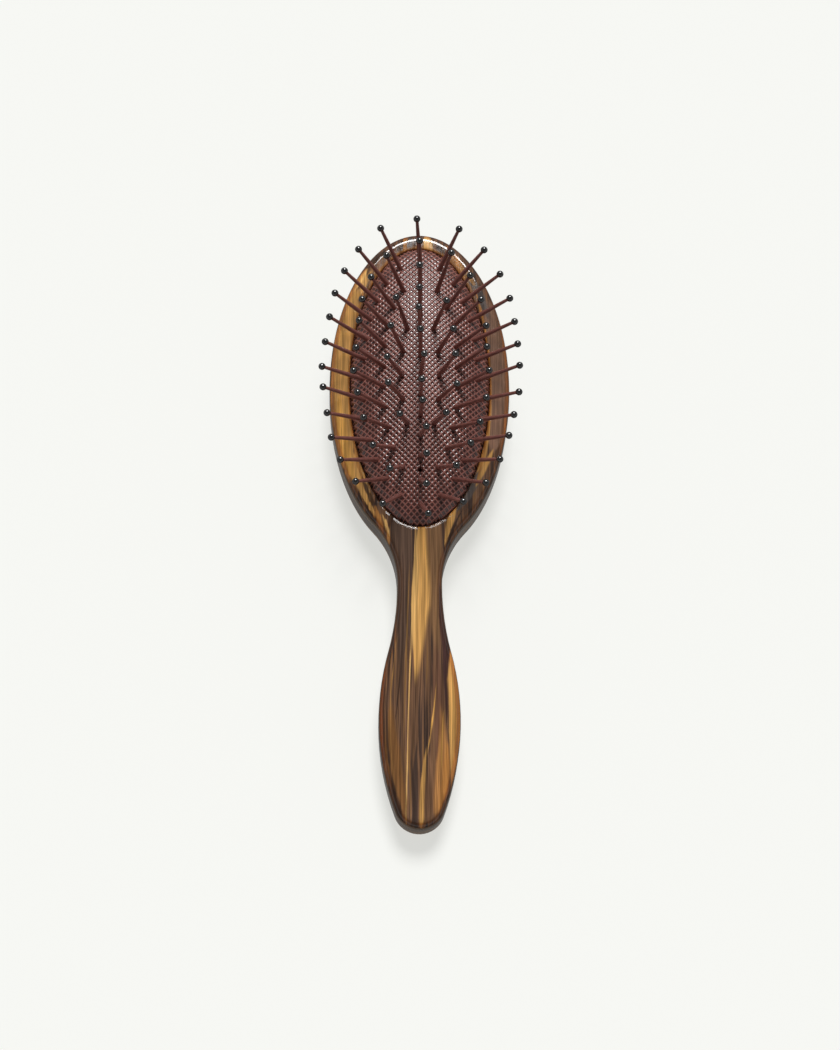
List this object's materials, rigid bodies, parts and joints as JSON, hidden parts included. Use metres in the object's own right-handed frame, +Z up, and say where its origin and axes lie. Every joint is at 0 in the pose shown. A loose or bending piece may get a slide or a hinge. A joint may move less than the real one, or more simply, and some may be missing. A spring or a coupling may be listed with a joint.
{
  "type": "detangling brush",
  "caption": "Oval cushion hairbrush: one-piece tortoiseshell head and handle, domed rubber air cushion, fanned nylon pins with ball tips.",
  "frame": {"origin": "on the flat back face, under the middle of the cushion", "axes": "+X across the head to the right, +Y along the brush toward the head's end, +Z up out of the cushion, the way the pins point"},
  "size_m": [0.0698, 0.2148, 0.044],
  "materials": {
    "acetate": "polished, streaked amber, brown and charcoal",
    "cushion_rubber": "satin, fine diamond pattern",
    "pin_nylon": "satin",
    "tip_resin": "gloss"
  },
  "bodies": {
    "handle": {"brush_body": "acetate"},
    "cushion": {"cushion_pad": "cushion_rubber"},
    "row_01": {"pin_row_01": "pin_nylon", "tip_row_01": "tip_resin"},
    "row_02": {"pin_row_02": "pin_nylon", "tip_row_02": "tip_resin"},
    "row_03": {"pin_row_03": "pin_nylon", "tip_row_03": "tip_resin"},
    "row_04": {"pin_row_04": "pin_nylon", "tip_row_04": "tip_resin"},
    "row_05": {"pin_row_05": "pin_nylon", "tip_row_05": "tip_resin"},
    "row_06": {"pin_row_06": "pin_nylon", "tip_row_06": "tip_resin"},
    "row_07": {"pin_row_07": "pin_nylon", "tip_row_07": "tip_resin"},
    "row_08": {"pin_row_08": "pin_nylon", "tip_row_08": "tip_resin"},
    "row_09": {"pin_row_09": "pin_nylon", "tip_row_09": "tip_resin"},
    "row_10": {"pin_row_10": "pin_nylon", "tip_row_10": "tip_resin"},
    "row_11": {"pin_row_11": "pin_nylon", "tip_row_11": "tip_resin"},
    "row_12": {"pin_row_12": "pin_nylon", "tip_row_12": "tip_resin"},
    "row_13": {"pin_row_13": "pin_nylon", "tip_row_13": "tip_resin"},
    "row_14": {"pin_row_14": "pin_nylon", "tip_row_14": "tip_resin"},
    "row_15": {"pin_row_15": "pin_nylon", "tip_row_15": "tip_resin"},
    "row_16": {"pin_row_16": "pin_nylon", "tip_row_16": "tip_resin"},
    "row_17": {"pin_row_17": "pin_nylon", "tip_row_17": "tip_resin"},
    "row_18": {"pin_row_18": "pin_nylon", "tip_row_18": "tip_resin"},
    "row_19": {"pin_row_19": "pin_nylon", "tip_row_19": "tip_resin"},
    "row_20": {"pin_row_20": "pin_nylon", "tip_row_20": "tip_resin"},
    "row_21": {"pin_row_21": "pin_nylon", "tip_row_21": "tip_resin"},
    "row_22": {"pin_row_22": "pin_nylon", "tip_row_22": "tip_resin"},
    "row_23": {"pin_row_23": "pin_nylon", "tip_row_23": "tip_resin"}
  },
  "joints": [
    {"name": "cushion_press", "type": "slide", "parent": "handle", "child": "cushion", "axis": [0, 0, 1], "range_m": [-0.004, 0], "stiffness_N_per_m": 2000, "deforming": ["cushion_pad"]},
    {"name": "row_01_rock", "type": "hinge", "parent": "cushion", "child": "row_01", "pos_m": [0, 0.04224, 0.01945], "axis": [1, 0, 0], "range_deg": [-8, 8], "stiffness_Nm_per_rad": 0.02},
    {"name": "row_02_rock", "type": "hinge", "parent": "cushion", "child": "row_02", "pos_m": [0, 0.03644, 0.02028], "axis": [1, 0, 0], "range_deg": [-8, 8], "stiffness_Nm_per_rad": 0.02},
    {"name": "row_03_rock", "type": "hinge", "parent": "cushion", "child": "row_03", "pos_m": [0, 0.03289, 0.02184], "axis": [1, 0, 0], "range_deg": [-8, 8], "stiffness_Nm_per_rad": 0.02},
    {"name": "row_04_rock", "type": "hinge", "parent": "cushion", "child": "row_04", "pos_m": [0, 0.02964, 0.02084], "axis": [1, 0, 0], "range_deg": [-8, 8], "stiffness_Nm_per_rad": 0.02},
    {"name": "row_05_rock", "type": "hinge", "parent": "cushion", "child": "row_05", "pos_m": [0, 0.02606, 0.0223], "axis": [1, 0, 0], "range_deg": [-8, 8], "stiffness_Nm_per_rad": 0.02},
    {"name": "row_06_rock", "type": "hinge", "parent": "cushion", "child": "row_06", "pos_m": [0, 0.02244, 0.0212], "axis": [1, 0, 0], "range_deg": [-8, 8], "stiffness_Nm_per_rad": 0.02},
    {"name": "row_07_rock", "type": "hinge", "parent": "cushion", "child": "row_07", "pos_m": [0, 0.01877, 0.02322], "axis": [1, 0, 0], "range_deg": [-8, 8], "stiffness_Nm_per_rad": 0.02},
    {"name": "row_08_rock", "type": "hinge", "parent": "cushion", "child": "row_08", "pos_m": [0, 0.01504, 0.02145], "axis": [1, 0, 0], "range_deg": [-8, 8], "stiffness_Nm_per_rad": 0.02},
    {"name": "row_09_rock", "type": "hinge", "parent": "cushion", "child": "row_09", "pos_m": [0, 0.01131, 0.02289], "axis": [1, 0, 0], "range_deg": [-8, 8], "stiffness_Nm_per_rad": 0.02},
    {"name": "row_10_rock", "type": "hinge", "parent": "cushion", "child": "row_10", "pos_m": [0, 0.00754, 0.0226], "axis": [1, 0, 0], "range_deg": [-8, 8], "stiffness_Nm_per_rad": 0.02},
    {"name": "row_11_rock", "type": "hinge", "parent": "cushion", "child": "row_11", "pos_m": [0, 0.00378, 0.02301], "axis": [1, 0, 0], "range_deg": [-8, 8], "stiffness_Nm_per_rad": 0.02},
    {"name": "row_12_rock", "type": "hinge", "parent": "cushion", "child": "row_12", "pos_m": [0, 0, 0.02268], "axis": [1, 0, 0], "range_deg": [-8, 8], "stiffness_Nm_per_rad": 0.02},
    {"name": "row_13_rock", "type": "hinge", "parent": "cushion", "child": "row_13", "pos_m": [0, -0.00378, 0.02301], "axis": [1, 0, 0], "range_deg": [-8, 8], "stiffness_Nm_per_rad": 0.02},
    {"name": "row_14_rock", "type": "hinge", "parent": "cushion", "child": "row_14", "pos_m": [0, -0.00754, 0.0226], "axis": [1, 0, 0], "range_deg": [-8, 8], "stiffness_Nm_per_rad": 0.02},
    {"name": "row_15_rock", "type": "hinge", "parent": "cushion", "child": "row_15", "pos_m": [0, -0.01131, 0.02289], "axis": [1, 0, 0], "range_deg": [-8, 8], "stiffness_Nm_per_rad": 0.02},
    {"name": "row_16_rock", "type": "hinge", "parent": "cushion", "child": "row_16", "pos_m": [0, -0.01504, 0.02145], "axis": [1, 0, 0], "range_deg": [-8, 8], "stiffness_Nm_per_rad": 0.02},
    {"name": "row_17_rock", "type": "hinge", "parent": "cushion", "child": "row_17", "pos_m": [0, -0.01877, 0.02322], "axis": [1, 0, 0], "range_deg": [-8, 8], "stiffness_Nm_per_rad": 0.02},
    {"name": "row_18_rock", "type": "hinge", "parent": "cushion", "child": "row_18", "pos_m": [0, -0.02244, 0.0212], "axis": [1, 0, 0], "range_deg": [-8, 8], "stiffness_Nm_per_rad": 0.02},
    {"name": "row_19_rock", "type": "hinge", "parent": "cushion", "child": "row_19", "pos_m": [0, -0.02606, 0.0223], "axis": [1, 0, 0], "range_deg": [-8, 8], "stiffness_Nm_per_rad": 0.02},
    {"name": "row_20_rock", "type": "hinge", "parent": "cushion", "child": "row_20", "pos_m": [0, -0.02964, 0.02084], "axis": [1, 0, 0], "range_deg": [-8, 8], "stiffness_Nm_per_rad": 0.02},
    {"name": "row_21_rock", "type": "hinge", "parent": "cushion", "child": "row_21", "pos_m": [0, -0.03289, 0.02184], "axis": [1, 0, 0], "range_deg": [-8, 8], "stiffness_Nm_per_rad": 0.02},
    {"name": "row_22_rock", "type": "hinge", "parent": "cushion", "child": "row_22", "pos_m": [0, -0.03644, 0.02028], "axis": [1, 0, 0], "range_deg": [-8, 8], "stiffness_Nm_per_rad": 0.02},
    {"name": "row_23_rock", "type": "hinge", "parent": "cushion", "child": "row_23", "pos_m": [0, -0.04224, 0.01945], "axis": [1, 0, 0], "range_deg": [-8, 8], "stiffness_Nm_per_rad": 0.02}
  ]
}
